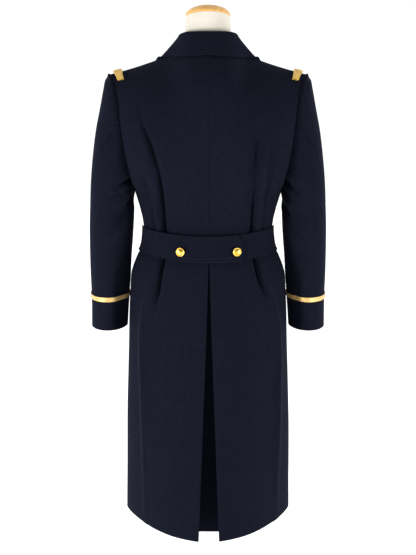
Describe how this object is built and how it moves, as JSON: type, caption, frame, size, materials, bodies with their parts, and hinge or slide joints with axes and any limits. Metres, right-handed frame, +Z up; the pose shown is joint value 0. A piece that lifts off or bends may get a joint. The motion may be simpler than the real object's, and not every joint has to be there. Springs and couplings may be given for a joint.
{
  "type": "sailor coat on a limbless dress form",
  "caption": "Long navy wool double-breasted naval greatcoat with half belt and back pleat, closed, on a limbless dress form with a round-foot stand.",
  "frame": {"origin": "on the floor, on the axis of the stand, at the centre of the round foot's underside", "axes": "+Z up; the back of the coat, which the picture shows, faces -Y; the wearer's left is at -X"},
  "size_m": [0.572, 0.414, 1.5055],
  "materials": {
    "navy_wool": "dense napped wool, nearly black navy",
    "gold_braid": "flat woven metallic braid",
    "gold_bullion": "coiled metallic bullion over padding",
    "gilt_brass": "polished gilt",
    "cream_cover": "cream jersey cover",
    "light_wood": "satin varnish",
    "white_lacquer": "satin white"
  },
  "bodies": {
    "root": {"back_left": "navy_wool", "back_right": "navy_wool", "belt_button_left": "gilt_brass", "belt_button_right": "gilt_brass", "belt_left": "navy_wool", "belt_right": "navy_wool", "collar": "navy_wool", "cuff_stripe_left": "gold_braid", "cuff_stripe_right": "gold_braid", "form": "cream_cover", "form_cap": "light_wood", "front_button_1": "gilt_brass", "front_button_2": "gilt_brass", "front_button_3": "gilt_brass", "front_button_4": "gilt_brass", "front_button_5": "gilt_brass", "front_button_6": "gilt_brass", "front_left": "navy_wool", "front_right": "navy_wool", "lapel_left": "navy_wool", "lapel_right": "navy_wool", "pleat_underlay": "navy_wool", "shoulder_strap_left": "gold_bullion", "shoulder_strap_right": "gold_bullion", "sleeve_back_left": "navy_wool", "sleeve_back_right": "navy_wool", "sleeve_front_left": "navy_wool", "sleeve_front_right": "navy_wool", "stand": "white_lacquer"}
  },
  "joints": []
}
